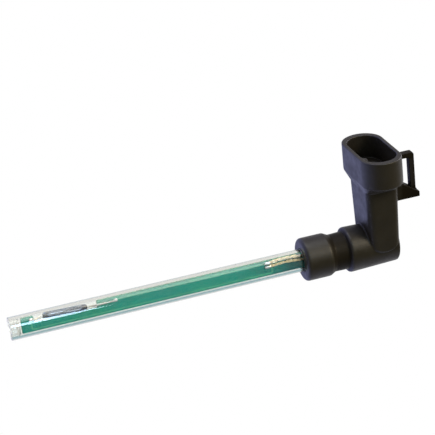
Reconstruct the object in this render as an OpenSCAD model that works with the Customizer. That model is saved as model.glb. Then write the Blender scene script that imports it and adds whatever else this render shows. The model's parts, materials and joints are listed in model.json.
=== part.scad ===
// Liquid and soil-reservoir level probe: a clear stem with a reed switch on a circuit board,
// glued into a moulded right-angle head with a two-way connector socket and a spring latch.
// The stem runs along X with its tip at -X. The socket opens towards +Z.
// Origin: on the stem axis, at the front face of the head.

/* [Stem] */
// Outer diameter of the clear stem
stem_d = 8; // [7.9:0.05:8.1]
// Inner diameter of the clear stem
stem_bore_d = 6; // [5.9:0.05:6.1]
// Length of the stem that stands out of the head
stem_len = 104; // [95:0.1:115]
// Length of the stem inside the head
stem_in_head = 13.5; // [12:0.1:13.8]
// Length of the resin plug that closes the tip
tip_plug_len = 3.2; // [2:0.1:3.6]

/* [Head barrel] */
// Radius of the collar next to the stem
collar_r = 7.65; // [7.4:0.05:7.8]
// Radius at the head's front face
nose_r = 6.3; // [5.8:0.05:6.6]
// Length of the collar's rounded lead-in
nose_len = 1.2; // [0.8:0.1:1.6]
// X where the collar ends and its back slope starts
collar_end_x = 9; // [8.7:0.1:9.3]
// Radius at the bottom of the groove
groove_r = 6.6; // [6.4:0.05:6.7]
// X where the groove starts
groove_start_x = 11; // [10.7:0.1:11.3]
// X of the shoulder that ends the groove
shoulder_x = 16; // [15.7:0.1:16.3]
// Largest radius of the barrel, next to the shoulder
barrel_r = 8.05; // [7.9:0.05:8.1]
// Radius of the barrel at its closed end
barrel_end_r = 7.55; // [7.4:0.05:7.7]
// X of the closed end of the barrel
barrel_end_x = 34.3; // [34.1:0.1:34.5]

/* [Riser and socket] */
// X of the riser's and the socket's axis
riser_x = 28.8; // [28.6:0.1:29]
// Size of the riser along X, just below the socket
riser_w = 11.8; // [11.4:0.1:12.2]
// Size of the riser along Y, just below the socket
riser_d = 17.6; // [17:0.1:18]
// Corner radius of the riser
riser_corner_r = 2.5; // [2:0.1:2.8]
// How much each side of the riser leans in from the socket to the foot
riser_draft = 0.5; // [0.2:0.1:0.7]
// Radius of the arc under the riser, seen along Y
foot_arc_r = 6.3; // [6.2:0.1:6.6]
// Height of the lowest point of that arc
foot_z = -0.4; // [-0.8:0.1:0]
// Height of the socket rim above the stem axis
rim_z = 35.7; // [35:0.1:36.5]
// Radius of the socket's round ends
socket_r = 7.32; // [7.2:0.01:7.4]
// Half the distance between the socket's two end axes
socket_half_gap = 8; // [7.8:0.05:8.2]
// Wall thickness of the socket along its long sides
socket_wall = 1.4; // [1.2:0.1:1.6]
// Wall thickness of the socket at its two round ends
socket_end_wall = 2.4; // [2:0.1:2.6]
// Height where the socket's straight outside wall starts
socket_skirt_z = 26; // [25.8:0.1:26.2]
// Height where the riser widens into the socket
socket_neck_z = 22.8; // [22.4:0.1:23]
// Height of the ledge inside the socket
socket_ledge_z = 27.2; // [27:0.1:28]
// Height of the floor of the narrow well below that ledge
well_floor_z = 18; // [17.5:0.5:20]

/* [Latch] */
// Width of the latch shelf along Y
shelf_w = 4.6; // [4.2:0.1:5]
// Width of the latch arm along Y
arm_w = 2.8; // [2.4:0.1:3.2]
// Thickness of the latch arm
arm_t = 1.5; // [1.4:0.05:1.6]
// Distance of the arm's middle from the riser's axis
arm_out = 14.05; // [13.95:0.05:14.15]
// Height of the top of the latch hook
hook_top_z = 31.5; // [31:0.1:31.8]

/* [Circuit board] */
// Height of the board's cross section
board_w = 5.6; // [5.5:0.05:5.6]
// Thickness of the board
board_t = 1; // [0.8:0.1:1]
// Distance from the stem's tip to the board's end
board_tip_gap = 4; // [3.8:0.1:4.4]
// Length of the board inside the head
board_in_head = 16; // [15:0.5:16]
// Distance from the stem's tip to the start of the reed notch
notch_start = 8.4; // [8.2:0.1:8.6]
// Distance from the stem's tip to the end of the reed notch
notch_end = 30.3; // [30:0.1:31]
// Height of the notch's floor above the board's middle line
notch_floor_z = 0.3; // [0.1:0.05:0.35]

/* [Reed switch] */
// Outer diameter of the glass capsule
capsule_d = 2.1; // [2:0.02:2.1]
// Length of the glass capsule
capsule_len = 15.5; // [15:0.1:16]
// Distance from the stem's tip to the middle of the capsule
capsule_mid = 19.25; // [19:0.05:19.5]
// Height of the capsule's middle above the board's middle line
capsule_z = 1.7; // [1.65:0.01:1.75]
// Slope of the capsule along the board, in degrees
capsule_tilt = 1.6; // [0:0.1:1.8]
// Gap between the two blades at rest
contact_gap = 0.16; // [0.14:0.01:0.2]

/* [Terminals] */
// Thickness of the terminal strip
blade_t = 0.8; // [0.7:0.05:0.8]
// Width of each connector blade
blade_w = 2.8; // [2.6:0.1:2.8]
// Distance between the two blades
blade_pitch = 5; // [4.8:0.1:6]
// Height of the blade tips
blade_top_z = 27.5; // [25:0.5:28]
// Length of the solder tails outside the head
tail_len = 13.2; // [12:0.1:14]
// Height of the upper tail above the board's middle line
upper_tail_z = 2.05; // [2:0.05:2.1]
// Height of the lower tail above the board's middle line
lower_tail_z = 0.75; // [0.6:0.05:0.8]

/* [Hidden] */
$fn = 96;
hull_fn = 32;
gap = 0.02;          // clearance between pieces that touch on the real object
cut = 1;             // how far a cutting shape runs past the face it opens

// colours
black_nylon = [0.17, 0.16, 0.15];
clear_tube = [0.86, 0.92, 0.93, 0.4];
clear_resin = [0.93, 0.93, 0.9, 0.7];
board_green = [0.1, 0.5, 0.4];
track_green = [0.2, 0.6, 0.48];
tin = [0.82, 0.84, 0.86];
reed_glass = [0.6, 0.72, 0.9, 0.5];
reed_alloy = [0.5, 0.52, 0.56];
gilt = [0.85, 0.76, 0.5];
carrier_grey = [0.3, 0.3, 0.3];
epoxy = [0.12, 0.12, 0.13];

// stem and its seat in the head
tip_x = -stem_len;
seat_r = stem_d / 2 + 0.2;
seat_x = stem_in_head + 0.3;
bead_len = 0.3;
edge_round = 1;
end_round = 0.6;
groove_rise = 0.15;

// cavity in the head
cavity_end_x = riser_x + 2.2;
cavity_half_y = 4.2;
cavity_low_z = -3.2;
cavity_high_z = 3.6;
shaft_half_x = 1.6;
shaft_half_y = 4.6;

// socket and riser
inner_r = socket_r - socket_wall;
inner_half_gap = socket_half_gap + socket_r - socket_end_wall - inner_r;
well_half_x = riser_w / 2 - 1.5;
well_half_y = riser_d / 2 - 1.5;
well_corner_r = 1.2;
foot_arc_z = foot_z + foot_arc_r;
slice_t = 0.3;
key_rib_r = 1.2;
key_rib_x = riser_x - inner_r + 0.5;
key_rib_y = -inner_half_gap + 0.3;
key_rib_top = rim_z - 0.4;

// latch
shelf_low_z = 14.9;
shelf_top_z = 20.5;
shelf_tip_t = 1.9;
shelf_flat_x = riser_x + 10.4;
shelf_tip_x = riser_x + 16;
pivot_x = riser_x + arm_out;
pivot_z = 18.3;
pivot_r = arm_t / 2 + 0.15;
pivot_clear = 0.06;
hook_t = 1.7;
hook_reach = 4.9;
arm_round = 0.5;

// board and its conductors
board_x0 = tip_x + board_tip_gap;
board_x1 = board_in_head;
front_y = -board_t / 2;
mask_t = 0.04;
pad_t = 0.06;
pad_r = 0.62;
pad_len = 4.2;
trace_w = 0.5;
trace_gap = 0.05;
low_trace_z = -1.9;
low_end_x = -tail_len + pad_len / 2;

// reed switch
capsule_x = tip_x + capsule_mid;
capsule_r = capsule_d / 2;
glass_t = 0.25;
seal_len = 1.6;
half_capsule = capsule_len / 2;
blade_overlap = 1;
reed_blade_t = 0.2;
reed_blade_w = 1;
lead_r = 0.25;
lead_in = half_capsule - seal_len - 0.25;
hinge_r = reed_blade_t / 2;
hinge_x = lead_in - hinge_r - gap;
lead_out = half_capsule + 0.7;
lead_bend = 0.4;
elbow_r = lead_r + 0.03;
lead_tail = 0.5;
lead_y = front_y - pad_t - lead_r - 0.05;
tip_joint_x = tip_x + 7.4;
head_joint_x = tip_x + 36.9;
joint_z = 1.7;
solder_r = 0.55;

// terminals
tail_h = 0.85;
tail_t = 0.45;
tail_y = front_y - pad_t - gap;
cross_x = board_x1 + 1.2;
cross_w = 1.6;
blade_taper = 0.8;

// A circle swept straight between +half_gap and -half_gap on Y, as a flat outline
module obround(r, half_gap) {
    square([2 * r, 2 * half_gap], center = true);
    for (side = [-1, 1])
        translate([0, side * half_gap])
            circle(r);
}

// A round bar along X from x0 to x1
module bar_x(x0, x1, r) {
    translate([x0, 0, 0])
        rotate([0, 90, 0])
            cylinder(h = x1 - x0, r = r);
}

// A box from its lowest corner to its highest corner
module block(low, high) {
    translate(low)
        cube(high - low);
}

// Outside of the collar, groove and barrel, as one turned shape on the X axis
module barrel_shape() {
    rotate([0, 90, 0])
        rotate_extrude()
            polygon(concat(
                [[0, 0]],
                [for (a = [0 : 15 : 90])
                    [nose_r + (collar_r - nose_r) * sin(a), nose_len * (1 - cos(a))]],
                [[collar_r, collar_end_x], [groove_r, groove_start_x],
                 [groove_r + groove_rise, shoulder_x]],
                [for (a = [0 : 15 : 90])
                    [barrel_r - edge_round * (1 - sin(a)),
                     shoulder_x + edge_round * (1 - cos(a))]],
                [for (a = [0 : 15 : 90])
                    [barrel_end_r - end_round * (1 - cos(a)),
                     barrel_end_x - end_round * (1 - sin(a))]],
                [[0, barrel_end_x]]));
}

// Four upright rods whose hull is a rectangle with rounded corners
module corner_rods(half_x, half_y, r, h, fn) {
    for (x = [-1, 1], y = [-1, 1])
        translate([x * (half_x - r), y * (half_y - r), 0])
            cylinder(h = h, r = r, $fn = fn);
}

// Leaning upright, rounded underneath so that its two ends finish in an arc on the barrel
module riser_shape() {
    half_x = riser_w / 2;
    half_y = riser_d / 2;
    intersection() {
        translate([riser_x, 0, 0])
            hull() {
                translate([0, 0, socket_neck_z])
                    corner_rods(half_x, half_y, riser_corner_r, slice_t, hull_fn);
                translate([0, 0, foot_z - cut])
                    corner_rods(half_x - riser_draft, half_y - riser_draft, riser_corner_r,
                        slice_t, hull_fn);
            }
        translate([riser_x, riser_d, 0])
            rotate([90, 0, 0])
                linear_extrude(2 * riser_d) {
                    translate([0, foot_arc_z])
                        circle(foot_arc_r);
                    translate([-foot_arc_r, foot_arc_z])
                        square([2 * foot_arc_r, rim_z]);
                }
    }
}

// Outside of the connector socket with the slope that widens it from the riser
module socket_shape() {
    translate([riser_x, 0, socket_skirt_z])
        linear_extrude(rim_z - socket_skirt_z)
            obround(socket_r, socket_half_gap);
    translate([riser_x, 0, 0])
        hull() {
            for (side = [-1, 1])
                translate([0, side * socket_half_gap, socket_skirt_z])
                    cylinder(h = slice_t, r = socket_r - gap, $fn = 2 * hull_fn);
            translate([0, 0, socket_neck_z])
                corner_rods(riser_w / 2, riser_d / 2, riser_corner_r, slice_t, hull_fn);
        }
}

// Hollow of the connector socket: a wide mouth with a key rib left on its -X wall, and a
// narrow well around the two blades
module socket_hollow() {
    difference() {
        translate([riser_x, 0, socket_ledge_z])
            linear_extrude(rim_z - socket_ledge_z + cut)
                obround(inner_r, inner_half_gap);
        translate([key_rib_x, key_rib_y, socket_ledge_z - cut])
            cylinder(h = key_rib_top - socket_ledge_z + cut, r = key_rib_r);
    }
    translate([riser_x, 0, well_floor_z])
        linear_extrude(socket_ledge_z - well_floor_z + cut) {
            square([2 * well_half_x, 2 * (well_half_y - well_corner_r)], center = true);
            square([2 * (well_half_x - well_corner_r), 2 * well_half_y], center = true);
            for (x = [-1, 1], y = [-1, 1])
                translate([x * (well_half_x - well_corner_r), y * (well_half_y - well_corner_r)])
                    circle(well_corner_r);
        }
}

// Bracket on the back of the riser that carries the latch arm
module shelf_shape() {
    translate([0, shelf_w / 2, 0])
        rotate([90, 0, 0])
            linear_extrude(shelf_w)
                polygon([[riser_x, shelf_low_z], [shelf_tip_x, shelf_low_z],
                    [shelf_tip_x, shelf_low_z + shelf_tip_t],
                    [shelf_flat_x, shelf_top_z], [riser_x, shelf_top_z]]);
}

module head_housing() {
    color(black_nylon)
        difference() {
            union() {
                barrel_shape();
                riser_shape();
                socket_shape();
                shelf_shape();
            }
            // seat of the stem
            bar_x(-cut, seat_x, seat_r);
            // cavity behind the stem
            block([seat_x - cut, -cavity_half_y, cavity_low_z],
                [cavity_end_x, cavity_half_y, cavity_high_z]);
            // shaft that leads up to the socket
            block([riser_x - shaft_half_x, -shaft_half_y, cavity_high_z - cut],
                [riser_x + shaft_half_x, shaft_half_y, well_floor_z + cut]);
            socket_hollow();
            // groove for the latch arm's root
            translate([pivot_x, 0, pivot_z])
                rotate([90, 0, 0])
                    cylinder(h = arm_w + 2 * pivot_clear, r = pivot_r + pivot_clear,
                        center = true);
        }
}

// Latch arm: a round root, an upright strap and an inward hook, standing in the XZ plane
module latch_arm() {
    color(black_nylon)
        translate([pivot_x, arm_w / 2, 0])
            rotate([90, 0, 0])
                linear_extrude(arm_w) {
                    translate([0, pivot_z])
                        circle(pivot_r);
                    translate([-arm_t / 2, pivot_z])
                        square([arm_t, hook_top_z - arm_round - pivot_z]);
                    translate([arm_t / 2 - arm_round, hook_top_z - arm_round])
                        circle(arm_round);
                    translate([-hook_reach, hook_top_z - hook_t])
                        square([hook_reach + arm_t / 2 - arm_round, hook_t]);
                }
}

module probe_tube() {
    color(clear_tube)
        difference() {
            bar_x(tip_x, stem_in_head, stem_d / 2);
            bar_x(tip_x - cut, stem_in_head + cut, stem_bore_d / 2);
        }
}

module tip_plug() {
    color(clear_resin)
        bar_x(tip_x + 0.2, tip_x + tip_plug_len, stem_bore_d / 2 - gap);
}

// Ring of glue around the stem, with a small raised bead at the head's front face
module tube_sealant() {
    color(epoxy)
        difference() {
            union() {
                bar_x(0, seat_x - 0.2, seat_r - gap);
                translate([-bead_len, 0, 0])
                    rotate([0, 90, 0])
                        cylinder(h = bead_len, r1 = stem_d / 2 + 0.1, r2 = seat_r - gap);
            }
            bar_x(-cut, seat_x + cut, stem_d / 2 + gap);
        }
}

module circuit_board() {
    color(board_green)
        difference() {
            block([board_x0, front_y, -board_w / 2], [board_x1, -front_y, board_w / 2]);
            block([tip_x + notch_start, front_y - cut, notch_floor_z],
                [tip_x + notch_end, cut - front_y, board_w / 2 + cut]);
        }
}

// One raised conductor on the board's front, from x0 to x1 with its middle at height z
module trace_x(x0, x1, z) {
    block([x0, front_y - mask_t, z - trace_w / 2], [x1, front_y - gap / 4, z + trace_w / 2]);
}

// One raised conductor that runs upright at x, from z0 to z1
module trace_z(x, z0, z1) {
    block([x - trace_w / 2, front_y - mask_t, z0], [x + trace_w / 2, front_y - gap / 4, z1]);
}

// Conductors under the green mask: one from each reed joint to its terminal
module copper_tracks() {
    color(track_green) {
        union() {
            trace_z(tip_joint_x, low_trace_z, joint_z - pad_r - trace_gap);
            trace_x(tip_joint_x - trace_w / 2, low_end_x + trace_w / 2, low_trace_z);
            trace_z(low_end_x, low_trace_z, lower_tail_z - tail_h / 2 - trace_gap);
        }
        trace_x(head_joint_x + pad_r + trace_gap, -tail_len - trace_gap, upper_tail_z);
    }
}

// A round tinned pad on the board's front with its middle at x and z
module round_pad(x, z) {
    translate([x, front_y - gap / 4, z])
        rotate([90, 0, 0])
            cylinder(h = pad_t, r = pad_r);
}

// A long tinned pad under a terminal tail
module tail_pad(z) {
    block([-tail_len, front_y - gap / 4 - pad_t, z - tail_h / 2],
        [-tail_len + pad_len, front_y - gap / 4, z + tail_h / 2]);
}

module tinned_pads() {
    color(tin) {
        round_pad(tip_joint_x, joint_z);
        round_pad(head_joint_x, joint_z);
        tail_pad(upper_tail_z);
        tail_pad(lower_tail_z);
    }
}

// Places the reed switch: its long axis is X, with the origin in the middle of the capsule
module on_reed() {
    translate([capsule_x, 0, capsule_z])
        rotate([0, capsule_tilt, 0])
            children();
}

// A domed rod along X between -half and +half
module domed_rod(half, r) {
    bar_x(r - half, half - r, r);
    for (side = [-1, 1])
        translate([side * (half - r), 0, 0])
            sphere(r);
}

module reed_capsule() {
    color(reed_glass)
        on_reed()
            difference() {
                domed_rod(half_capsule, capsule_r);
                domed_rod(half_capsule - seal_len, capsule_r - glass_t);
                bar_x(-half_capsule - cut, half_capsule + cut, lead_r + gap);
            }
}

// A round rod from point a to point b
module rod_between(a, b, r) {
    d = b - a;
    translate(a)
        rotate([0, acos(d.z / norm(d)), atan2(d.y, d.x)])
            cylinder(h = norm(d), r = r);
}

// One lead: out of the glass, across to the board's front face at bend_x, and along to its joint
module reed_lead(side, bend_x, joint_x) {
    far_x = joint_x + side * lead_tail;
    out = [capsule_x + side * lead_out * cos(capsule_tilt), 0,
        capsule_z - side * lead_out * sin(capsule_tilt)];
    bend = [bend_x, lead_y, joint_z];
    color(reed_alloy) {
        on_reed()
            bar_x(min(side * lead_in, side * lead_out), max(side * lead_in, side * lead_out),
                lead_r);
        rod_between(out, bend, lead_r);
        translate([0, lead_y, joint_z])
            bar_x(min(bend_x, far_x), max(bend_x, far_x), lead_r);
        translate(out)
            rotate(90)
                sphere(elbow_r);
        translate(bend)
            rotate(-90)
                sphere(elbow_r);
    }
}

module reed_lead_tip() {
    reed_lead(-1, tip_x + notch_start + lead_bend, tip_joint_x);
}

module reed_lead_head() {
    reed_lead(1, tip_x + notch_end - lead_bend, head_joint_x);
}

// One flat contact blade, from its round root at the lead to just past the capsule's middle
module reed_blade(side) {
    free_x = blade_overlap / 2;
    color(reed_alloy)
        on_reed()
            translate([side * hinge_x, 0, side * (contact_gap + reed_blade_t) / 2])
                rotate([90, 0, 0])
                    linear_extrude(reed_blade_w, center = true) {
                        circle(hinge_r);
                        translate([side > 0 ? -hinge_x - free_x : 0, -reed_blade_t / 2])
                            square([hinge_x + free_x, reed_blade_t]);
                    }
}

module reed_blade_tip() {
    reed_blade(-1);
}

module reed_blade_head() {
    reed_blade(1);
}

// A dome of solder on the board's front, with the lead's channel left free
module solder_dome(x, z) {
    difference() {
        intersection() {
            translate([x, lead_y, z])
                sphere(solder_r);
            block([x - solder_r, -board_w, z - solder_r],
                [x + solder_r, front_y - gap / 4 - pad_t - gap, z + solder_r]);
        }
        translate([0, lead_y, z])
            bar_x(x - cut, x + cut, lead_r + gap);
    }
}

module solder_reed_tip() {
    color(tin)
        solder_dome(tip_joint_x, joint_z);
}

module solder_reed_head() {
    color(tin)
        solder_dome(head_joint_x, joint_z);
}

// Solder at the free end of each terminal tail, in front of the tail's end face
module solder_terminals() {
    color(tin)
        for (z = [upper_tail_z, lower_tail_z])
            intersection() {
                translate([-tail_len, tail_y, z])
                    sphere(tail_h / 2);
                block([-tail_len - tail_h, tail_y - tail_h, z - tail_h],
                    [-tail_len - gap, tail_y, z + tail_h]);
            }
}

// One terminal, grown by g on every side: solder tail, cross piece, arm, and upright blade
module terminal_shape(side, z, g) {
    blade_y = side * blade_pitch / 2;
    y_low = min(tail_y - tail_t, blade_y - blade_w / 2);
    y_high = max(tail_y, blade_y + blade_w / 2);
    half_t = blade_t / 2;
    block([-tail_len - g, tail_y - tail_t - g, z - tail_h / 2 - g],
        [cross_x + half_t, tail_y + g, z + tail_h / 2 + g]);
    block([cross_x - g, y_low - g, z - half_t - g], [cross_x + cross_w + g, y_high + g, z + half_t + g]);
    block([cross_x - g, blade_y - blade_w / 2 - g, z - half_t - g],
        [riser_x + half_t + g, blade_y + blade_w / 2 + g, z + half_t + g]);
    translate([riser_x - half_t - g, 0, 0])
        rotate([90, 0, 90])
            linear_extrude(blade_t + 2 * g)
                polygon([[blade_y - blade_w / 2 - g, z - half_t - g],
                    [blade_y + blade_w / 2 + g, z - half_t - g],
                    [blade_y + blade_w / 2 + g, blade_top_z - blade_taper],
                    [blade_y + blade_w / 2 - blade_taper / 2, blade_top_z],
                    [blade_y - blade_w / 2 + blade_taper / 2, blade_top_z],
                    [blade_y - blade_w / 2 - g, blade_top_z - blade_taper]]);
}

module upper_terminal() {
    color(gilt)
        terminal_shape(1, upper_tail_z, 0);
}

module lower_terminal() {
    color(gilt)
        terminal_shape(-1, lower_tail_z, 0);
}

// Insulating block in the riser that holds the two blades apart
module terminal_carrier() {
    color(carrier_grey)
        difference() {
            block([riser_x - shaft_half_x + gap, -shaft_half_y + gap, cavity_high_z + gap],
                [riser_x + shaft_half_x - gap, shaft_half_y - gap, well_floor_z - gap]);
            terminal_shape(1, upper_tail_z, gap);
            terminal_shape(-1, lower_tail_z, gap);
        }
}

// Cast resin that fills the cavity behind the stem
module potting_compound() {
    color(epoxy)
        difference() {
            block([seat_x + gap, -cavity_half_y + gap, cavity_low_z + gap],
                [cavity_end_x - gap, cavity_half_y - gap, cavity_high_z - gap]);
            block([0, front_y - gap, -board_w / 2 - gap],
                [board_x1 + gap, -front_y + gap, board_w / 2 + gap]);
            terminal_shape(1, upper_tail_z, gap);
            terminal_shape(-1, lower_tail_z, gap);
        }
}

head_housing();
latch_arm();
probe_tube();
tip_plug();
tube_sealant();
circuit_board();
copper_tracks();
tinned_pads();
reed_capsule();
reed_lead_tip();
reed_lead_head();
reed_blade_tip();
reed_blade_head();
solder_reed_tip();
solder_reed_head();
solder_terminals();
upper_terminal();
lower_terminal();
terminal_carrier();
potting_compound();
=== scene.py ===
"""Looks of a liquid level probe: an elbow connector head with a latch arm, a clear stem, and the
slim circuit board with a reed switch inside it. Lengths are in metres, in the CAD frame."""

import json
import math

import bmesh
import bpy
from mathutils import Matrix, Vector, noise


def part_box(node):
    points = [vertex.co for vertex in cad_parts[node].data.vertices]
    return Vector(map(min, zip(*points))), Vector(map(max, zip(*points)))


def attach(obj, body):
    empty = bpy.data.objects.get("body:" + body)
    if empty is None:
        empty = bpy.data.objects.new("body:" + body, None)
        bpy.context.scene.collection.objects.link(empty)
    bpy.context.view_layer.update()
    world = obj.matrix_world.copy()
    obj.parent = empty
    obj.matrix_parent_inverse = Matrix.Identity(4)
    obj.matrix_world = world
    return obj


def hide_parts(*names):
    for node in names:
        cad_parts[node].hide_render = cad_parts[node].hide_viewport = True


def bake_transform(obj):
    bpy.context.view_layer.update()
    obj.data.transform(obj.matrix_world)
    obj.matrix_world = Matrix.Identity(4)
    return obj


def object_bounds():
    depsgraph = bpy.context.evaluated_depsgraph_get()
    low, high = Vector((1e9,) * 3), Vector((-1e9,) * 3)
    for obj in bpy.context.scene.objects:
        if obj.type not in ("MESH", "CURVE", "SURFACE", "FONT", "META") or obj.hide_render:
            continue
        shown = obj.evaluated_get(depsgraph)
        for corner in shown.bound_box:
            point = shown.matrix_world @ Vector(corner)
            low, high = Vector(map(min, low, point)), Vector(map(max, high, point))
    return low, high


MM = 0.001
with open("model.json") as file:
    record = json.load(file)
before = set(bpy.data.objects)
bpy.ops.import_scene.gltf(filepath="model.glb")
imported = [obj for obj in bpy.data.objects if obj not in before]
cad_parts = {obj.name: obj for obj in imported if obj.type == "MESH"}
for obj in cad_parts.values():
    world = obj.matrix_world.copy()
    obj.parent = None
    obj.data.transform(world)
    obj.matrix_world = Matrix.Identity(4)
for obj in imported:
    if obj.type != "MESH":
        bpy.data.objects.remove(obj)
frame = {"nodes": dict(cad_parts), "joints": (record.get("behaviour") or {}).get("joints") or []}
cad_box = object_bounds()


# ---------------------------------------------------------------- outlines and meshes

SAME_POINT = 1e-8
CORNER_SHARE = 0.48
SMOOTH_UP_TO = math.radians(40)


def rounded(points, radius, steps=5, closed=True):
    """An outline or path whose corners are replaced by short curves that start radius away. A
    corner takes at most CORNER_SHARE of a side."""
    out = []
    last = len(points) - 1
    for i, point in enumerate(points):
        corner = Vector(point)
        if not closed and i in (0, last):
            out.append(corner)
            continue
        back = Vector(points[i - 1]) - corner
        ahead = Vector(points[(i + 1) % len(points)]) - corner
        cut = min(radius, CORNER_SHARE * back.length, CORNER_SHARE * ahead.length)
        start = corner + back.normalized() * cut
        end = corner + ahead.normalized() * cut
        for s in range(steps + 1):
            t = s / steps
            out.append(start * (1 - t) ** 2 + corner * 2 * t * (1 - t) + end * t * t)
    return out


def ring_mesh(name, rings, closed=False, caps=False, smooth=SMOOTH_UP_TO):
    """A mesh that joins rings of points. A ring of one point closes that end."""
    verts, faces, index = [], [], []
    for ring in rings:
        index.append(range(len(verts), len(verts) + len(ring)))
        verts.extend(ring)
    count = max(len(ring) for ring in rings)
    pairs = list(zip(index, index[1:]))
    if closed:
        pairs.append((index[-1], index[0]))
    for a, b in pairs:
        for k in range(count):
            n = (k + 1) % count
            corners = [a[k % len(a)], a[n % len(a)], b[n % len(b)], b[k % len(b)]]
            faces.append(list(dict.fromkeys(corners)))
    if caps:
        faces.append(list(reversed(index[0])))
        faces.append(list(index[-1]))
    mesh = bpy.data.meshes.new(name)
    mesh.from_pydata([tuple(v) for v in verts], [], faces)
    return finished(mesh, smooth)


def finished(mesh, smooth=SMOOTH_UP_TO):
    """Outward normals, no doubled points, and smooth shading up to the given angle."""
    bm = bmesh.new()
    bm.from_mesh(mesh)
    bmesh.ops.remove_doubles(bm, verts=bm.verts, dist=SAME_POINT)
    bmesh.ops.recalc_face_normals(bm, faces=bm.faces)
    bm.to_mesh(mesh)
    bm.free()
    for polygon in mesh.polygons:
        polygon.use_smooth = True
    mesh.set_sharp_from_angle(angle=smooth)
    return mesh


def lathe(name, profile, closed=False, segments=96, smooth=SMOOTH_UP_TO):
    """Turns (x, r) points about the X axis."""
    turns = [2 * math.pi * k / segments for k in range(segments)]
    rings = []
    for x, r in profile:
        if r < SAME_POINT:
            rings.append([(x, 0, 0)])
        else:
            rings.append([(x, r * math.sin(a), r * math.cos(a)) for a in turns])
    return ring_mesh(name, rings, closed, smooth=smooth)


def smooth_path(points, radius, steps=8):
    """A 3D path with its corners rounded."""
    return rounded(points, radius, steps, closed=False)


def sweep(name, path, section, size=lambda t: 1.0, side=Vector((0, 1, 0))):
    """Carries a closed (side, up) section along a path. size(t) scales it from end to end."""
    rings = []
    last = len(path) - 1
    for i, point in enumerate(path):
        ahead = Vector(path[min(i + 1, last)]) - Vector(path[max(i - 1, 0)])
        ahead.normalize()
        up = ahead.cross(side).normalized()
        across = up.cross(ahead)
        scale = size(i / last)
        rings.append([Vector(point) + across * a * scale + up * b * scale for a, b in section])
    return ring_mesh(name, rings, caps=True)


def oval(centre, half_a, half_b, count=24):
    """The points of an ellipse about a centre."""
    turns = [2 * math.pi * k / count for k in range(count)]
    return [(centre[0] + half_a * math.cos(a), centre[1] + half_b * math.sin(a)) for a in turns]


def slab(x0, x1, z0, z1):
    """The corners of a rectangle."""
    return [(x0, z0), (x1, z0), (x1, z1), (x0, z1)]


def evaluated(thing):
    """The mesh that an object's curve or modifiers give. The object itself is removed."""
    bpy.context.view_layer.update()
    graph = bpy.context.evaluated_depsgraph_get()
    mesh = bpy.data.meshes.new_from_object(thing.evaluated_get(graph))
    bpy.data.objects.remove(thing)
    return mesh


def plate(name, outline, y0, y1, bevel=0.0):
    """A sheet between the planes y0 and y1 from an (x, z) outline."""
    curve = bpy.data.curves.new(name, "CURVE")
    curve.dimensions = "2D"
    curve.fill_mode = "BOTH"
    curve.extrude = (y1 - y0) / 2 - bevel
    curve.bevel_depth = bevel
    curve.bevel_resolution = 2
    curve.offset = -bevel
    spline = curve.splines.new("POLY")
    spline.points.add(len(outline) - 1)
    for target, (x, z) in zip(spline.points, outline):
        target.co = (x, z, 0, 1)
    spline.use_cyclic_u = True
    flat = bpy.data.objects.new(name, curve)
    bpy.context.scene.collection.objects.link(flat)
    mesh = evaluated(flat)
    mesh.transform(Matrix(((1, 0, 0, 0), (0, 0, -1, (y0 + y1) / 2), (0, 1, 0, 0), (0, 0, 0, 1))))
    mesh.materials.clear()
    return finished(mesh, math.radians(30))


def joined(name, meshes, smooth=SMOOTH_UP_TO):
    """One mesh from several."""
    bm = bmesh.new()
    for mesh in meshes:
        bm.from_mesh(mesh)
        bpy.data.meshes.remove(mesh)
    mesh = bpy.data.meshes.new(name)
    bm.to_mesh(mesh)
    bm.free()
    return finished(mesh, smooth)


def remeshed(node, name, voxel, passes):
    """A copy of a CAD node's shape with every edge softened, as moulding leaves it."""
    source = frame["nodes"][node]
    copy = bpy.data.objects.new(name, source.data.copy())
    bpy.context.scene.collection.objects.link(copy)
    weld = copy.modifiers.new("weld", "WELD")
    weld.merge_threshold = 10 * SAME_POINT
    remesh = copy.modifiers.new("remesh", "REMESH")
    remesh.mode = "VOXEL"
    remesh.voxel_size = voxel
    smooth = copy.modifiers.new("smooth", "SMOOTH")
    smooth.factor = 0.5
    smooth.iterations = passes
    mesh = evaluated(copy)
    mesh.name = name
    mesh.materials.clear()
    for polygon in mesh.polygons:
        polygon.use_smooth = True
    return mesh


def place(name, mesh, body, slot, replaces=()):
    """Adds a finished piece to the scene. It rides on body, unless body is None."""
    piece = bpy.data.objects.new(name, mesh)
    bpy.context.scene.collection.objects.link(piece)
    mesh.materials.append(FINISHES[slot])
    if body:
        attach(piece, body)
    if replaces:
        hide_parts(*replaces)
    return piece


# ---------------------------------------------------------------- materials

SEAL = 1.6 * MM
GROOVE_MIDDLE = 12.9 * MM
GROOVE_HALF = 2.9 * MM
GROOVE_FADE = 0.7 * MM
BARREL_TOP = 9 * MM
BEHIND_RISER = 36.5 * MM
SAWN_EDGE = 0.04 * MM
SAWN_FADE = 0.2 * MM
SHADE_START = -24 * MM
SHADE_END = -5 * MM


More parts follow.
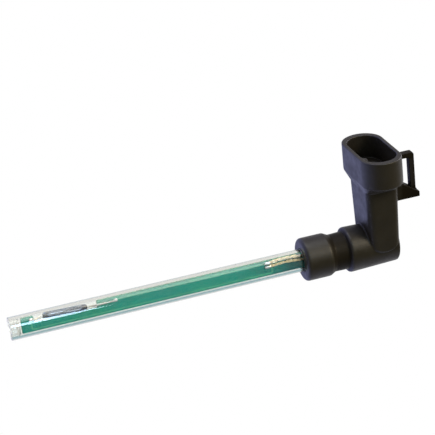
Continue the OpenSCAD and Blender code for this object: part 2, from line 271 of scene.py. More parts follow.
class Finish:
    """A Principled material with a few helpers for procedural detail."""

    def __init__(self, name, colour, roughness, metallic=0.0):
        self.material = bpy.data.materials.new(name)
        self.material.use_nodes = True
        self.tree = self.material.node_tree
        self.shader = self.tree.nodes["Principled BSDF"]
        self.set("Base Color", (*colour, 1))
        self.set("Roughness", roughness)
        self.set("Metallic", metallic)
        self.where = self.add("ShaderNodeTexCoord").outputs["Object"]
        place_axes = self.axes(self.where)
        self.x, self.z = place_axes["X"], place_axes["Z"]
        self.height = None

    def add(self, kind, **values):
        node = self.tree.nodes.new(kind)
        for key, value in values.items():
            setattr(node, key, value)
        return node

    def link(self, source, target):
        self.tree.links.new(source, target)

    def set(self, socket, value):
        self.shader.inputs[socket].default_value = value

    def axes(self, vector):
        """The three numbers of a vector."""
        node = self.add("ShaderNodeSeparateXYZ")
        self.link(vector, node.inputs[0])
        return node.outputs

    def noise(self, scale, detail=4.0, stretch=(1, 1, 1)):
        """A noise value from 0 to 1. Scale is in features per millimetre."""
        mapping = self.add("ShaderNodeMapping")
        mapping.inputs["Scale"].default_value = stretch
        self.link(self.where, mapping.inputs["Vector"])
        texture = self.add("ShaderNodeTexNoise")
        texture.inputs["Scale"].default_value = scale / MM
        texture.inputs["Detail"].default_value = detail
        self.link(mapping.outputs["Vector"], texture.inputs["Vector"])
        return texture.outputs["Fac"]

    def ramp(self, value, stops):
        """Maps a value to a colour through (position, colour) stops."""
        node = self.add("ShaderNodeValToRGB")
        elements = node.color_ramp.elements
        while len(elements) < len(stops):
            elements.new(0.5)
        for element, (position, colour) in zip(elements, stops):
            element.position = position
            element.color = (*colour, 1)
        self.link(value, node.inputs["Fac"])
        return node.outputs["Color"]

    def spread(self, value, low, high, start=0.3, end=0.7):
        """Maps a value between start and end to a number between low and high."""
        node = self.add("ShaderNodeMapRange")
        node.inputs["From Min"].default_value = start
        node.inputs["From Max"].default_value = end
        node.inputs["To Min"].default_value = low
        node.inputs["To Max"].default_value = high
        self.link(value, node.inputs["Value"])
        return node.outputs["Result"]

    def math(self, operation, first, second=0.0):
        """One operation on two values. A value is a socket or a number."""
        node = self.add("ShaderNodeMath", operation=operation)
        for socket, value in zip(node.inputs, (first, second)):
            if isinstance(value, (int, float)):
                socket.default_value = value
            else:
                self.link(value, socket)
        return node.outputs[0]

    def mix(self, factor, first, second):
        """Blends two colours. A colour is a socket or three numbers."""
        node = self.add("ShaderNodeMix", data_type="RGBA")
        for socket, colour in ((node.inputs[6], first), (node.inputs[7], second)):
            if isinstance(colour, tuple):
                socket.default_value = (*colour, 1)
            else:
                self.link(colour, socket)
        self.link(factor, node.inputs["Factor"])
        return node.outputs[2]

    def normal(self):
        """The direction that the surface faces, as three numbers."""
        return self.axes(self.add("ShaderNodeNewGeometry").outputs["Normal"])

    def edges(self, start, end):
        """1 on convex edges and 0 elsewhere."""
        point = self.add("ShaderNodeNewGeometry").outputs["Pointiness"]
        return self.spread(point, 0, 1, start, end)

    def from_middle(self, middle):
        """How far along X a place is from the middle, to either side."""
        return self.math("ABSOLUTE", self.math("SUBTRACT", self.x, middle))

    def openness(self, reach):
        """1 in the open, falling towards 0 in corners and hollows. Reach is in millimetres."""
        node = self.add("ShaderNodeAmbientOcclusion", samples=8, only_local=True)
        node.inputs["Distance"].default_value = reach * MM
        return node.outputs["AO"]

    def bump(self, value, depth, strength=1.0):
        """Adds relief. Depth is in millimetres."""
        node = self.add("ShaderNodeBump")
        node.inputs["Strength"].default_value = strength
        node.inputs["Distance"].default_value = depth * MM
        self.link(value, node.inputs["Height"])
        if self.height:
            self.link(self.height, node.inputs["Normal"])
        self.height = node.outputs["Normal"]
        self.link(self.height, self.shader.inputs["Normal"])

    def clear_to_shadows(self, tint):
        """Lets light from the lamps through, so that what is inside is lit."""
        output = self.tree.nodes["Material Output"]
        ray = self.add("ShaderNodeLightPath").outputs["Is Shadow Ray"]
        open_air = self.add("ShaderNodeBsdfTransparent")
        open_air.inputs["Color"].default_value = (*tint, 1)
        mix = self.add("ShaderNodeMixShader")
        self.link(ray, mix.inputs[0])
        self.link(self.shader.outputs[0], mix.inputs[1])
        self.link(open_air.outputs[0], mix.inputs[2])
        self.link(mix.outputs[0], output.inputs["Surface"])


def black_nylon():
    """Satin moulding. Painted shade turns its reflections down in corners, in the groove and on the latch
    and shelf behind the riser, and a painted highlight lightens its convex edges.
    """
    f = Finish("black_nylon", (0.012, 0.011, 0.010), 0.55)
    base = f.ramp(f.noise(0.12, 3), [(0.3, (0.0075, 0.006, 0.004)), (0.7, (0.013, 0.0105, 0.007))])
    # painted highlight: convex edges are lighter
    edge_highlight = f.mix(f.edges(0.52, 0.60), base, (0.022, 0.020, 0.019))
    f.link(edge_highlight, f.shader.inputs["Base Color"])
    fine = f.spread(f.noise(0.5, 5), -0.06, 0.06)
    f.link(f.math("ADD", fine, f.spread(f.noise(0.1, 2), 0.4, 0.5)), f.shader.inputs["Roughness"])
    # painted shade: reflections are turned down in the groove below the barrel top, on the latch and shelf
    # behind the riser, and in corners
    above = f.spread(f.z, 0, 1, BARREL_TOP, BARREL_TOP + 1 * MM)
    beside = f.spread(f.from_middle(GROOVE_MIDDLE), 0.25, 1, GROOVE_HALF, GROOVE_HALF + GROOVE_FADE)
    groove = f.math("MAXIMUM", above, beside)
    latch = f.spread(f.x, 1, 0.06, BEHIND_RISER, BEHIND_RISER + 2 * MM)
    shaded_sheen = f.math("MULTIPLY", f.spread(f.openness(5), 0.03, 0.5, 0.5, 1), latch)
    f.link(f.math("MULTIPLY", shaded_sheen, groove), f.shader.inputs["Specular IOR Level"])
    f.bump(f.noise(6, 2), 0.012, 0.35)
    f.bump(f.noise(0.35, 3), 0.05, 0.25)
    return f.material


def clear_tube():
    """Drawn tube with a slight haze, and a matt end where it was sawn."""
    f = Finish("clear_tube", (0.865, 0.87, 0.845), 0.03)
    f.set("Transmission Weight", 1.0)
    f.set("IOR", 1.49)
    f.set("Specular IOR Level", 0.3)
    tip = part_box("probe_tube")[0].x
    sawn = f.spread(f.x, 0.5, 0, tip + SAWN_EDGE, tip + SAWN_FADE)
    haze = f.spread(f.noise(0.6, 4, (0.15, 1, 1)), 0.01, 0.06)
    f.link(f.math("MAXIMUM", sawn, haze), f.shader.inputs["Roughness"])
    f.bump(f.noise(0.25, 2, (0.1, 1, 1)), 0.02, 0.04)
    f.clear_to_shadows((0.93, 0.96, 0.96))
    return f.material


def clear_resin():
    """Slightly milky resin."""
    f = Finish("clear_resin", (0.76, 0.76, 0.745), 0.12)
    f.set("Transmission Weight", 0.97)
    f.set("IOR", 1.5)
    f.link(f.spread(f.noise(0.8, 3), 0.05, 0.25), f.shader.inputs["Roughness"])
    f.bump(f.noise(0.5, 2), 0.02, 0.15)
    f.clear_to_shadows((0.9, 0.93, 0.95))
    return f.material


def board_green():
    """Green mask over glass weave on the two faces, darker next to the head, and bare laminate on
    the sawn edges."""
    f = Finish("board_green", (0.01, 0.2, 0.15), 0.3)
    weave = f.add("ShaderNodeTexWave", wave_type="BANDS", bands_direction="X")
    weave.inputs["Scale"].default_value = 0.9 / MM
    f.link(f.where, weave.inputs["Vector"])
    tone = f.ramp(f.noise(0.08, 3, (0.4, 1, 1)), [
        (0.3, (0.001, 0.20, 0.18)), (0.5, (0.001, 0.215, 0.17)), (0.7, (0.006, 0.22, 0.14))])
    # painted shade: the board darkens towards the head
    shaded = f.mix(f.spread(f.x, 0, 1, SHADE_START, SHADE_END), tone, (0.002, 0.125, 0.125))
    side = f.spread(f.math("ABSOLUTE", f.normal()["Y"]), 1, 0, 0.5, 0.8)
    f.link(f.mix(side, shaded, (0.06, 0.2, 0.12)), f.shader.inputs["Base Color"])
    f.link(f.spread(f.noise(0.8, 4), 0.22, 0.36), f.shader.inputs["Roughness"])
    f.set("Specular IOR Level", 0.12)
    f.bump(weave.outputs["Fac"], 0.01, 0.2)
    f.bump(f.noise(1.5, 3), 0.01, 0.3)
    return f.material


def masked_copper():
    """Copper that shows paler through the green mask."""
    f = Finish("masked_copper", (0.02, 0.3, 0.2), 0.28)
    f.link(f.ramp(f.noise(0.3, 3), [(0.3, (0.02, 0.26, 0.17)), (0.7, (0.05, 0.33, 0.2))]),
           f.shader.inputs["Base Color"])
    f.bump(f.noise(2, 3), 0.01, 0.3)
    return f.material


def solder():
    """Bright solder with duller patches."""
    f = Finish("solder", (0.72, 0.72, 0.74), 0.25, 1.0)
    f.link(f.ramp(f.noise(1.2, 4), [(0.35, (0.5, 0.5, 0.52)), (0.65, (0.82, 0.82, 0.84))]),
           f.shader.inputs["Base Color"])
    f.link(f.spread(f.noise(2.5, 3), 0.16, 0.38), f.shader.inputs["Roughness"])
    f.bump(f.noise(3, 4), 0.03, 0.4)
    return f.material


def reed_glass():
    """Pale where it is faced and navy at its melted ends, with painted shade making its under side navy
    and a painted dark refraction along its outline.
    """
    f = Finish("reed_glass", (0.75, 0.86, 0.9), 0.02)
    f.set("Transmission Weight", 1.0)
    f.set("IOR", 1.5)
    rim = f.add("ShaderNodeLayerWeight")
    rim.inputs["Blend"].default_value = 0.4
    # painted shade: the under side is darker
    under = f.spread(f.normal()["Z"], 0.7, 0, -0.5, 0.3)
    low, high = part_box("reed_capsule")
    half = (high.x - low.x) / 2
    melted = f.spread(f.from_middle((low.x + high.x) / 2), 0, 0.6, half - SEAL - 1 * MM, half - SEAL)
    # painted dark refraction: the outline is darker
    outline = f.math("MULTIPLY", rim.outputs["Facing"], 0.6)
    depth = f.math("ADD", f.math("ADD", outline, under), melted)
    f.link(f.ramp(depth, [
        (0.25, (0.84, 0.86, 0.92)), (0.42, (0.14, 0.3, 0.52)), (0.6, (0.002, 0.02, 0.07))]),
        f.shader.inputs["Base Color"])
    f.bump(f.noise(0.7, 2), 0.02, 0.2)
    f.clear_to_shadows((0.8, 0.86, 0.88))
    return f.material


def reed_alloy():
    """Drawn wire with marks along it."""
    f = Finish("reed_alloy", (0.6, 0.58, 0.55), 0.3, 1.0)
    f.link(f.ramp(f.noise(0.9, 4, (0.2, 1, 1)), [
        (0.3, (0.42, 0.4, 0.38)), (0.7, (0.75, 0.72, 0.68))]), f.shader.inputs["Base Color"])
    f.link(f.spread(f.noise(1.5, 3), 0.2, 0.4), f.shader.inputs["Roughness"])
    f.bump(f.noise(4, 3, (0.2, 1, 1)), 0.01, 0.3)
    return f.material


def gilt_brass():
    """Gold flash over stamped strip, tarnished in places."""
    f = Finish("gilt_brass", (0.85, 0.68, 0.38), 0.28, 1.0)
    f.link(f.ramp(f.noise(0.7, 4), [
        (0.3, (0.62, 0.45, 0.22)), (0.5, (0.86, 0.72, 0.45)), (0.7, (0.93, 0.86, 0.68))]),
        f.shader.inputs["Base Color"])
    f.link(f.spread(f.noise(1.5, 3), 0.18, 0.4), f.shader.inputs["Roughness"])
    f.bump(f.noise(2, 4), 0.02, 0.4)
    return f.material


def carrier_plastic():
    """Dark grey moulding with a fine grain."""
    f = Finish("carrier_plastic", (0.05, 0.05, 0.05), 0.5)
    f.link(f.ramp(f.noise(0.5, 3), [(0.3, (0.04, 0.038, 0.036)), (0.7, (0.07, 0.066, 0.06))]),
           f.shader.inputs["Base Color"])
    f.bump(f.noise(5, 2), 0.01, 0.4)
    return f.material


def epoxy():
    """Black casting resin with a wavy surface."""
    f = Finish("epoxy", (0.03, 0.028, 0.026), 0.25)
    f.link(f.ramp(f.noise(0.3, 3), [(0.3, (0.026, 0.032, 0.031)), (0.7, (0.055, 0.062, 0.058))]),
           f.shader.inputs["Base Color"])
    f.bump(f.noise(0.5, 3), 0.1, 0.4)
    return f.material


FINISHES = {maker.__name__: maker() for maker in (
    black_nylon, clear_tube, clear_resin, board_green, masked_copper, solder, reed_glass,
    reed_alloy, gilt_brass, carrier_plastic, epoxy)}


# ---------------------------------------------------------------- moulded parts

HEAD_VOXEL = 0.2 * MM
HEAD_PASSES = 8


def make_head():
    """The moulded head with its edges softened."""
    mesh = remeshed("head_housing", "head_shell", HEAD_VOXEL, HEAD_PASSES)
    place("head_shell", mesh, "probe", "black_nylon", ["head_housing"])


HOOK_THICKNESS = 1.7 * MM
HOOK_ROUND = 1.1 * MM
HOOK_CHAMFER = 0.4 * MM
FOOT_FLARE = 0.45 * MM
STRAP_BEVEL = 0.12 * MM
STRAP_RINGS = 11


def make_latch():
    """The strap, with rows of points one millimetre apart up both sides from the latch_flex joint's
    height.
    """
    low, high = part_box("latch_arm")
    flex = next(joint for joint in frame["joints"] if joint["name"] == "latch_flex")
    pivot = Vector(flex["pos_m"])
    right = high.x
    left = 2 * pivot.x - right
    hook_low = high.z - HOOK_THICKNESS
    rise = [pivot.z + k * MM for k in range(STRAP_RINGS + 1)]
    outline = [(left - FOOT_FLARE, low.z), (right + FOOT_FLARE, low.z)]
    outline += [(right, z) for z in rise]
    outline += rounded([(right, hook_low), (right, high.z), (low.x, high.z)], HOOK_ROUND, 6,
                       closed=False)
    outline += [(low.x, hook_low), (left - HOOK_CHAMFER, hook_low),
                (left, hook_low - HOOK_CHAMFER)]
    outline += [(left, z) for z in reversed(rise)]
    mesh = plate("latch_strap", outline, low.y, high.y, STRAP_BEVEL)
    piece = place("latch_strap", mesh, None, "black_nylon", ["latch_arm"])
    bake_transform(piece)


# ---------------------------------------------------------------- stem

TUBE_WALL = 1 * MM
SUPPORT = 0.4 * MM
TUBE_EDGE = 0.06 * MM
DISH = 0.35 * MM


def make_tube():
    """The clear tube. Extra rings by its ends keep the shading of the long walls straight."""
    low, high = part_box("probe_tube")
    outer = high.z
    inner = outer - TUBE_WALL
    near, far = low.x + SUPPORT, high.x - SUPPORT
    outline = [(low.x, inner), (near, inner), (far, inner), (high.x, inner),
               (high.x, outer), (far, outer), (near, outer), (low.x, outer)]
    mesh = lathe("stem_tube", rounded(outline, TUBE_EDGE, 4), closed=True, segments=160)
    place("stem_tube", mesh, "probe", "clear_tube", ["probe_tube"])


def make_tip_plug():
    """Clear resin in the tip, with the hollow face that shrinkage leaves on each end."""
    low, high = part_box("tip_plug")
    steps = 10
    shares = [s / steps for s in range(steps + 1)]
    profile = [(low.x + DISH * (1 - t ** 3), high.z * t) for t in shares]
    profile += [(high.x - 2 * DISH * (1 - t ** 3), high.z * t) for t in reversed(shares)]
    mesh = lathe("tip_resin", profile, segments=96)
    place("tip_resin", mesh, "probe", "clear_resin", ["tip_plug"])


# ---------------------------------------------------------------- circuit board

board_low, board_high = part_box("circuit_board")
NOTCH_FROM_TIP = 8.4 * MM
NOTCH_LENGTH = 21.9 * MM
NOTCH_FLOOR = 0.3 * MM
BOARD_CORNER = 0.45 * MM
BOARD_BEVEL = 0.05 * MM


def make_board():
    """The board, with the notch in its upper edge that the reed switch lies in."""
    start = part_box("probe_tube")[0].x + NOTCH_FROM_TIP
    end = start + NOTCH_LENGTH
    outline = [(board_low.x, board_low.z), (board_high.x, board_low.z),
               (board_high.x, board_high.z), (end, board_high.z), (end, NOTCH_FLOOR),
               (start, NOTCH_FLOOR), (start, board_high.z), (board_low.x, board_high.z)]
    outline = rounded(outline, BOARD_CORNER, 6)
    mesh = plate("reed_board", outline, board_low.y, board_high.y, BOARD_BEVEL)
    place("reed_board", mesh, "probe", "board_green", ["circuit_board"])


def box_centre(node):
    """The middle of a CAD node's box."""
    low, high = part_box(node)
    return (Vector(low) + Vector(high)) / 2


MASK = 0.04 * MM
TRACK_WIDTH = 0.5 * MM
TRACK_BEND = 0.7 * MM
TRACK_TURN_UP = 2 * MM
TRACK_BEFORE_PADS = 4 * MM
JOINT_OVERLAP = 0.6 * MM


def track(path):
    """A low raised band on the board's front face, along (x, z) points."""
    y = board_low.y - MASK / 2
    half = TRACK_WIDTH / 2
    section = rounded(slab(-MASK / 2, MASK / 2, -half, half), MASK / 3, 2)
    points = smooth_path([(x, y, z) for x, z in path], TRACK_BEND, 6)
    return sweep("track", points, section)


def make_tracks():
    """Two conductors under the green mask, from the reed joints to the terminal tails."""
    tip, head = box_centre("solder_reed_tip"), box_centre("solder_reed_head")
    low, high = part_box("copper_tracks")
    half = TRACK_WIDTH / 2
    end = high.x - half
    lower_z = low.z + half
    upper_z = high.z - half
    pads_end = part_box("tinned_pads")[1].x
    meshes = [
        track([(tip.x, tip.z - JOINT_OVERLAP), (tip.x, lower_z), (end, lower_z),
               (end, lower_z + TRACK_TURN_UP)]),
        track([(head.x + JOINT_OVERLAP, upper_z), (pads_end - TRACK_BEFORE_PADS, upper_z)])]
    place("track_pair", joined("track_pair", meshes), "probe", "masked_copper", ["copper_tracks"])


PAD_RADIUS = 0.62 * MM
PAD_HEIGHT = 0.06 * MM
PAD_BEVEL = 0.015 * MM
TAIL_PAD_LENGTH = 4.2 * MM
TAIL_PAD_HALF = 0.425 * MM
TAIL_PAD_CORNER = 0.3 * MM
TAIL_PITCH = 1.3 * MM


def make_pads():
    """Tinned rounds under the reed leads and long pads under the terminal tails."""
    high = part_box("tinned_pads")[1]
    top, bottom = board_low.y - PAD_HEIGHT, board_low.y
    meshes = []
    for node in ("solder_reed_tip", "solder_reed_head"):
        at = box_centre(node)
        outline = oval((at.x, at.z), PAD_RADIUS, PAD_RADIUS, 40)
        meshes.append(plate("pad", outline, top, bottom, PAD_BEVEL))
    for row in range(2):
        z = high.z - TAIL_PAD_HALF - row * TAIL_PITCH
        corners = slab(high.x - TAIL_PAD_LENGTH, high.x, z - TAIL_PAD_HALF, z + TAIL_PAD_HALF)
        meshes.append(plate("pad", rounded(corners, TAIL_PAD_CORNER, 5), top, bottom, PAD_BEVEL))
    place("pad_set", joined("pad_set", meshes), "probe", "solder", ["tinned_pads"])


MOUND_TOP = 0.42
MOUND_WAVE = 0.10
JOINT_BASE = PAD_RADIUS * 0.96
JOINT_HEIGHT = 0.78 * MM
JOINT_STRETCH = 1.15


def mound(x, z, base, height, stretch, seed):
    """A solder joint: a wide foot on the pad that sweeps up to a rounded top over the wire."""
    steps, count = 14, 36
    rings = []
    for s in range(steps):
        t = s / steps
        reach = base * (MOUND_TOP * math.sqrt(1 - t * t) + (1 - MOUND_TOP) * (1 - t) ** 3)
        y = board_low.y - PAD_HEIGHT / 2 - height * t
        ring = []
        for k in range(count):
            a = 2 * math.pi * k / count
            wave = 1 + MOUND_WAVE * noise.noise((math.cos(a), math.sin(a), t + seed))
            ring.append((x + reach * stretch * wave * math.cos(a), y,
                         z + reach * wave * math.sin(a)))
        rings.append(ring)
    rings.append([(x, board_low.y - PAD_HEIGHT / 2 - height, z)])
    return ring_mesh("mound", rings, smooth=math.radians(80))


def make_reed_joints():
    """The two joints that hold the reed switch's wires."""
    for number, side in enumerate(("tip", "head")):
        node = "solder_reed_" + side
        at = box_centre(node)
        mesh = mound(at.x, at.z, JOINT_BASE, JOINT_HEIGHT, JOINT_STRETCH, 10 * number)
        mesh.name = "reed_joint_" + side
        place("reed_joint_" + side, mesh, "probe", "solder", [node])


LUMP_LENGTH = 2.6 * MM
LUMP_OVERHANG = 0.15 * MM
LUMP_DEPTH = 0.45 * MM
LUMP_HEIGHT = 0.56 * MM
LUMP_SINK = 0.02 * MM
LUMP_WAVE = 0.16


def make_tail_joints():
    """A lump of solder that wraps the free end of each terminal tail."""
    low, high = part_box("solder_terminals")
    start = low.x - LUMP_OVERHANG
    y = (low.y + high.y) / 2 - LUMP_SINK
    steps = 24
    meshes = []
    for number, z in enumerate((high.z - TAIL_PAD_HALF, low.z + TAIL_PAD_HALF)):
        path = [(start + LUMP_LENGTH * k / steps, y, z) for k in range(steps + 1)]

        def swell(t, seed=number):
            """Round at both ends, and uneven between."""
            bulge = math.sin(math.pi * min(1, 0.04 + t * 0.96)) ** 0.45
            return max(0.05, bulge * (1 + LUMP_WAVE * noise.noise((3 * t, seed * 7.0, 0.3))))

        section = oval((0, 0), LUMP_DEPTH, LUMP_HEIGHT, 28)
        meshes.append(sweep("lump", path, section, swell))
    mesh = joined("tail_joints", meshes, math.radians(80))
    place("tail_joints", mesh, "probe", "solder", ["solder_terminals"])


# ---------------------------------------------------------------- reed switch and terminals

CAPSULE_TILT = math.radians(1.6)
CAPSULE_HALF = 7.75 * MM
CAPSULE_RADIUS = 1.05 * MM
GLASS_WALL = 0.25 * MM
LEAD_RADIUS = 0.25 * MM
LEAD_STRAIGHT = 0.7 * MM
LEAD_BEND = 0.7 * MM
LEAD_BENDS = {"tip": 4.8 * MM, "head": 25.9 * MM}
WICK = 0.5


def reed_point(along):
    """A point on the capsule's axis, measured from its middle."""
    middle = box_centre("reed_capsule")
    return middle + Vector((along * math.cos(CAPSULE_TILT), 0, -along * math.sin(CAPSULE_TILT)))


def make_capsule():
    """A drawn glass tube, melted shut around a lead at each end."""
    steps = 14
    quarter = [0.5 * math.pi * k / steps for k in range(steps + 1)]
    shoulder = 1.5 * CAPSULE_RADIUS
    clearance = 0.01 * MM
    rim = LEAD_RADIUS + clearance
    outer = [(-CAPSULE_HALF + shoulder * (1 - math.sin(a)),
              rim + (CAPSULE_RADIUS - rim) * math.cos(a) ** 0.8) for a in reversed(quarter)]
    outer += [(-x, r) for x, r in reversed(outer)]
    end = CAPSULE_HALF - SEAL
    bore = CAPSULE_RADIUS - GLASS_WALL
    inner = [(end - bore * (1 - math.sin(a)), rim + (bore - rim) * math.cos(a))
             for a in reversed(quarter)]
    inner += [(-x, r) for x, r in reversed(inner)]
    mesh = lathe("reed_glass_capsule", outer + inner, closed=True, segments=72)
    mesh.transform(Matrix.Rotation(CAPSULE_TILT, 4, "Y"))
    mesh.transform(Matrix.Translation(box_centre("reed_capsule")))
    place("reed_glass_capsule", mesh, "probe", "reed_glass", ["reed_capsule"])


def make_leads():
    """Each wire leaves the glass, bends over to the board's front face and lies along it."""
    for side, sign in (("tip", -1), ("head", 1)):
        node = "reed_lead_" + side
        low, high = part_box(node)
        at = box_centre("solder_reed_" + side)
        y = low.y + LEAD_RADIUS
        far = low.x if side == "tip" else high.x
        path = [reed_point(sign * (CAPSULE_HALF - SEAL - GLASS_WALL)),
                reed_point(sign * (CAPSULE_HALF + LEAD_STRAIGHT)),
                Vector((board_low.x + LEAD_BENDS[side], y, at.z)), Vector((far, y, at.z))]
        points = []
        for a, b in zip(path, path[1:]):
            points += [a.lerp(b, k / 4) for k in range(4)]
        points = smooth_path(points + [path[-1]], LEAD_BEND, 6)

        def tinned(t):
            """Solder wicks up the wire from its joint."""
            return 1 + WICK * max(0.0, math.sin(math.pi * min(1, max(0, (t - 0.35) / 0.6)))) ** 2

        section = oval((0, 0), LEAD_RADIUS, LEAD_RADIUS, 28)
        mesh = sweep("reed_wire_" + side, points, section, tinned)
        place("reed_wire_" + side, mesh, "probe", "reed_alloy", [node])


TAIL_LENGTH = 13.2 * MM
TAIL_RISE = 0.45 * MM
BORE_REACH = 2.93 * MM
TAIL_FADE = 1.5
TAIL_SWELL = 0.55
TAIL_LUMP = 0.30
TAIL_FACE = 0.3 * MM
SWELLS_PER_MM = 0.55
LUMPS_PER_MM = 0.9
TERMINAL_VOXEL = 0.09 * MM
TERMINAL_PASSES = 5


def tin_tail(mesh, seed):
    """Gives a terminal's solder tail the uneven, slightly bent shape of a hand-tinned strip. TAIL_FADE and
    TAIL_LUMP are in millimetres."""
    tail = [v for v in mesh.vertices if v.co.x < 0]
    middle = (min(v.co.z for v in tail) + max(v.co.z for v in tail)) / 2
    front = min(v.co.y for v in tail)
    for v in tail:
        along = v.co.x / MM
        fade = min(1, -along / TAIL_FADE)
        swell = 1 + TAIL_SWELL * fade * noise.noise((along * SWELLS_PER_MM, seed, 0.0))
        lump = TAIL_LUMP * fade * max(0, noise.noise((along * LUMPS_PER_MM, seed, 4.0)))
        rise = TAIL_RISE * math.sin(math.pi * min(1, -v.co.x / TAIL_LENGTH))
        v.co.z = middle + (v.co.z - middle) * swell + rise
        if v.co.y < front + TAIL_FACE:
            v.co.y -= lump * MM
        v.co.z = min(v.co.z, math.sqrt(BORE_REACH ** 2 - v.co.y ** 2))


def make_terminals():
    """Stamped strips with the soft edges that stamping and plating leave."""
    for side in ("upper", "lower"):
        mesh = remeshed(side + "_terminal", side + "_blade", TERMINAL_VOXEL, TERMINAL_PASSES)
        tin_tail(mesh, 5.0 if side == "upper" else 11.0)
        place(side + "_blade", mesh, "probe", "gilt_brass", [side + "_terminal"])


def finish_cad_nodes():
    """CAD nodes whose shape stays get their material from the slot they carry in model.glb."""
    for node in frame["nodes"].values():
        slot = node.data.materials[0].name
        node.material_slots[0].material = FINISHES[slot.split(".")[0]]
        for polygon in node.data.polygons:
            polygon.use_smooth = False


# ---------------------------------------------------------------- studio

AZIMUTH = math.radians(-15.07)
ELEVATION = math.radians(24.293)
ROLL = math.radians(6.512)
DISTANCE = 0.6026
LENS = 143.4
AIM_FROM_CENTRE = Vector((5.2, 14.3, 2.6)) * MM
FLOOR_DROP = 0.09
FLOOR_HALF = 6.0


def make_camera():
    """A camera in front of the object, a little above and to its left."""
    low, high = Vector(cad_box[0]), Vector(cad_box[1])
    aim = (low + high) / 2 + AIM_FROM_CENTRE
    back = Vector((math.sin(AZIMUTH) * math.cos(ELEVATION),
                   -math.cos(AZIMUTH) * math.cos(ELEVATION), math.sin(ELEVATION)))
    level = Vector((math.cos(AZIMUTH), math.sin(AZIMUTH), 0))
    upright = back.cross(level)
    right = level * math.cos(ROLL) - upright * math.sin(ROLL)
    up = level * math.sin(ROLL) + upright * math.cos(ROLL)
    data = bpy.data.cameras.new("camera")
    data.lens = LENS
    data.sensor_width = 36
    camera = bpy.data.objects.new("camera", data)
    bpy.context.scene.collection.objects.link(camera)
    turn = Matrix((right, up, back)).transposed().to_4x4()
    camera.matrix_world = Matrix.Translation(aim + back * DISTANCE) @ turn
    bpy.context.scene.camera = camera


FRONT_TONE = (0.19, 0.165, 0.07)
REAR_LEFT_TONE = (0.64, 0.68, 1.2)
REAR_RIGHT_TONE = (0.85, 0.85, 0.87)
REAR_HIGH_TONE = (0.4, 0.38, 0.4)
REAR = (-0.25, 0.97, 0)
LOW_TONE = (0.45, 0.45, 0.52)
INSIDE_TONE = (0.88, 0.88, 0.85)
INSIDE_LOW_TONE = (0.34, 0.51, 0.55)


def mapped(tree, value, start, end):
    """A value that is 0 at start, 1 at end, and smooth between."""
    node = tree.nodes.new("ShaderNodeMapRange")
    node.interpolation_type = "SMOOTHSTEP"
    node.inputs["From Min"].default_value = start
    node.inputs["From Max"].default_value = end
    tree.links.new(value, node.inputs["Value"])
    return node.outputs["Result"]


def mixed(tree, factor, first, second):
    """Blends two colours. A colour is a socket or three numbers."""
    node = tree.nodes.new("ShaderNodeMix")
    node.data_type = "RGBA"
    tree.links.new(factor, node.inputs["Factor"])
    for socket, colour in ((node.inputs[6], first), (node.inputs[7], second)):
        if isinstance(colour, tuple):
            socket.default_value = (*colour, 1)
        else:
            tree.links.new(colour, socket)
    return node.outputs[2]


def surround(tree, direction):
    """White where it is seen directly. Reflections and fill light see a dark warm front that is
    pale from below, a blue rear on the stem's side, and on the other side a rear that is pale low
    down and dark high up. Light inside the glass has its own tones."""
    parts = tree.nodes.new("ShaderNodeSeparateXYZ")
    tree.links.new(direction, parts.inputs[0])
    along = tree.nodes.new("ShaderNodeVectorMath")
    along.operation = "DOT_PRODUCT"
    along.inputs[1].default_value = Vector(REAR).normalized()
    tree.links.new(direction, along.inputs[0])
    path = tree.nodes.new("ShaderNodeLightPath")
    bounces = tree.nodes.new("ShaderNodeMath")
    tree.links.new(path.outputs["Diffuse Depth"], bounces.inputs[0])
    tree.links.new(path.outputs["Glossy Depth"], bounces.inputs[1])
    right = mixed(tree, mapped(tree, parts.outputs["Z"], 0, 0.4), REAR_RIGHT_TONE, REAR_HIGH_TONE)
    rear = mixed(tree, mapped(tree, parts.outputs["X"], -0.05, 0.2), REAR_LEFT_TONE, right)
    front = mixed(tree, mapped(tree, parts.outputs["Z"], -0.55, -0.9), FRONT_TONE, LOW_TONE)
    outside = mixed(tree, mapped(tree, along.outputs["Value"], -0.5, 0.6), front, rear)
    inside = mixed(tree, mapped(tree, parts.outputs["Z"], -0.75, -0.45),
                   INSIDE_LOW_TONE, INSIDE_TONE)
    tone = mixed(tree, path.outputs["Transmission Depth"], outside, inside)
    return mixed(tree, bounces.outputs[0], (1.0, 1.0, 1.0), tone)


def make_world():
    """The backdrop."""
    world = bpy.data.worlds.new("studio")
    bpy.context.scene.world = world
    world.use_nodes = True
    tree = world.node_tree
    direction = tree.nodes.new("ShaderNodeTexCoord").outputs["Generated"]
    tree.links.new(surround(tree, direction), tree.nodes["Background"].inputs["Color"])


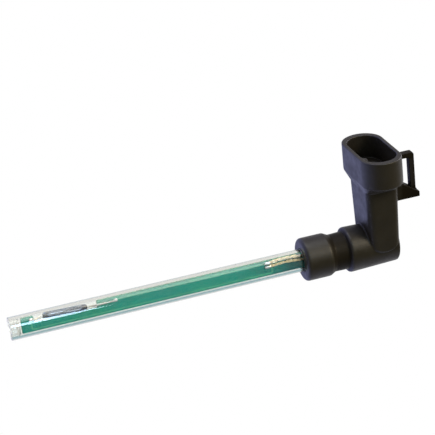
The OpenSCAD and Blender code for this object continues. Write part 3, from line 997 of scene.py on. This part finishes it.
def make_floor():
    """A wide pale floor some way below the object."""
    low = Vector(cad_box[0])
    mesh = bpy.data.meshes.new("floor")
    corners = slab(-FLOOR_HALF, FLOOR_HALF, -FLOOR_HALF, FLOOR_HALF)
    mesh.from_pydata([(x, y, low.z - FLOOR_DROP) for x, y in corners], [], [(0, 1, 2, 3)])
    floor = bpy.data.objects.new("floor", mesh)
    bpy.context.scene.collection.objects.link(floor)
    material = bpy.data.materials.new("pale_floor")
    material.use_nodes = True
    tree = material.node_tree
    tree.nodes.remove(tree.nodes["Principled BSDF"])
    forward = tree.nodes.new("ShaderNodeVectorMath")
    forward.operation = "SCALE"
    forward.inputs["Scale"].default_value = -1
    tree.links.new(tree.nodes.new("ShaderNodeNewGeometry").outputs["Incoming"], forward.inputs[0])
    glow = tree.nodes.new("ShaderNodeEmission")
    tree.links.new(surround(tree, forward.outputs[0]), glow.inputs["Color"])
    tree.links.new(glow.outputs[0], tree.nodes["Material Output"].inputs["Surface"])
    mesh.materials.append(material)


def add_lamp(name, aim, direction, distance, size, watts, colour=(1, 1, 1)):
    """A soft rectangular lamp that looks at aim from a direction."""
    data = bpy.data.lights.new(name, "AREA")
    data.shape = "RECTANGLE"
    data.size, data.size_y = size
    data.energy = watts
    data.color = colour
    lamp = bpy.data.objects.new(name, data)
    bpy.context.scene.collection.objects.link(lamp)
    away = Vector(direction).normalized()
    lamp.location = aim + away * distance
    lamp.rotation_euler = away.to_track_quat("Z", "Y").to_euler()


STREAK_DIRECTION = (0.131, -0.740, 0.660)
STREAK_FROM_TIP = 8 * MM


def make_lamps():
    """A lamp that draws the streak along the stem's tip, and three that shape the head."""
    low, high = Vector(cad_box[0]), Vector(cad_box[1])
    centre = (low + high) / 2
    streak_middle = Vector((low.x + STREAK_FROM_TIP, 0, 0))
    add_lamp("streak_lamp", streak_middle, STREAK_DIRECTION, 1.2, (0.08, 0.6), 2.3,
             (0.55, 0.78, 1.0))
    add_lamp("top_lamp", centre, (0.1, 0.1, 1), 0.9, (0.9, 0.5), 3.5)
    add_lamp("side_lamp", centre, (1, 0.25, 0.15), 1.1, (0.5, 0.5), 7, (0.9, 0.86, 1.0))
    add_lamp("front_lamp", centre, (0.9, -0.75, 0.75), 1.3, (0.4, 0.4), 11, (1.0, 0.84, 0.6))


def main():
    finish_cad_nodes()
    make_head()
    make_latch()
    make_tube()
    make_tip_plug()
    make_board()
    make_tracks()
    make_pads()
    make_reed_joints()
    make_tail_joints()
    make_capsule()
    make_leads()
    make_terminals()
    make_camera()
    make_world()
    make_floor()
    make_lamps()
    bpy.context.scene.view_settings.view_transform = "Standard"


main()
bpy.context.view_layer.update()
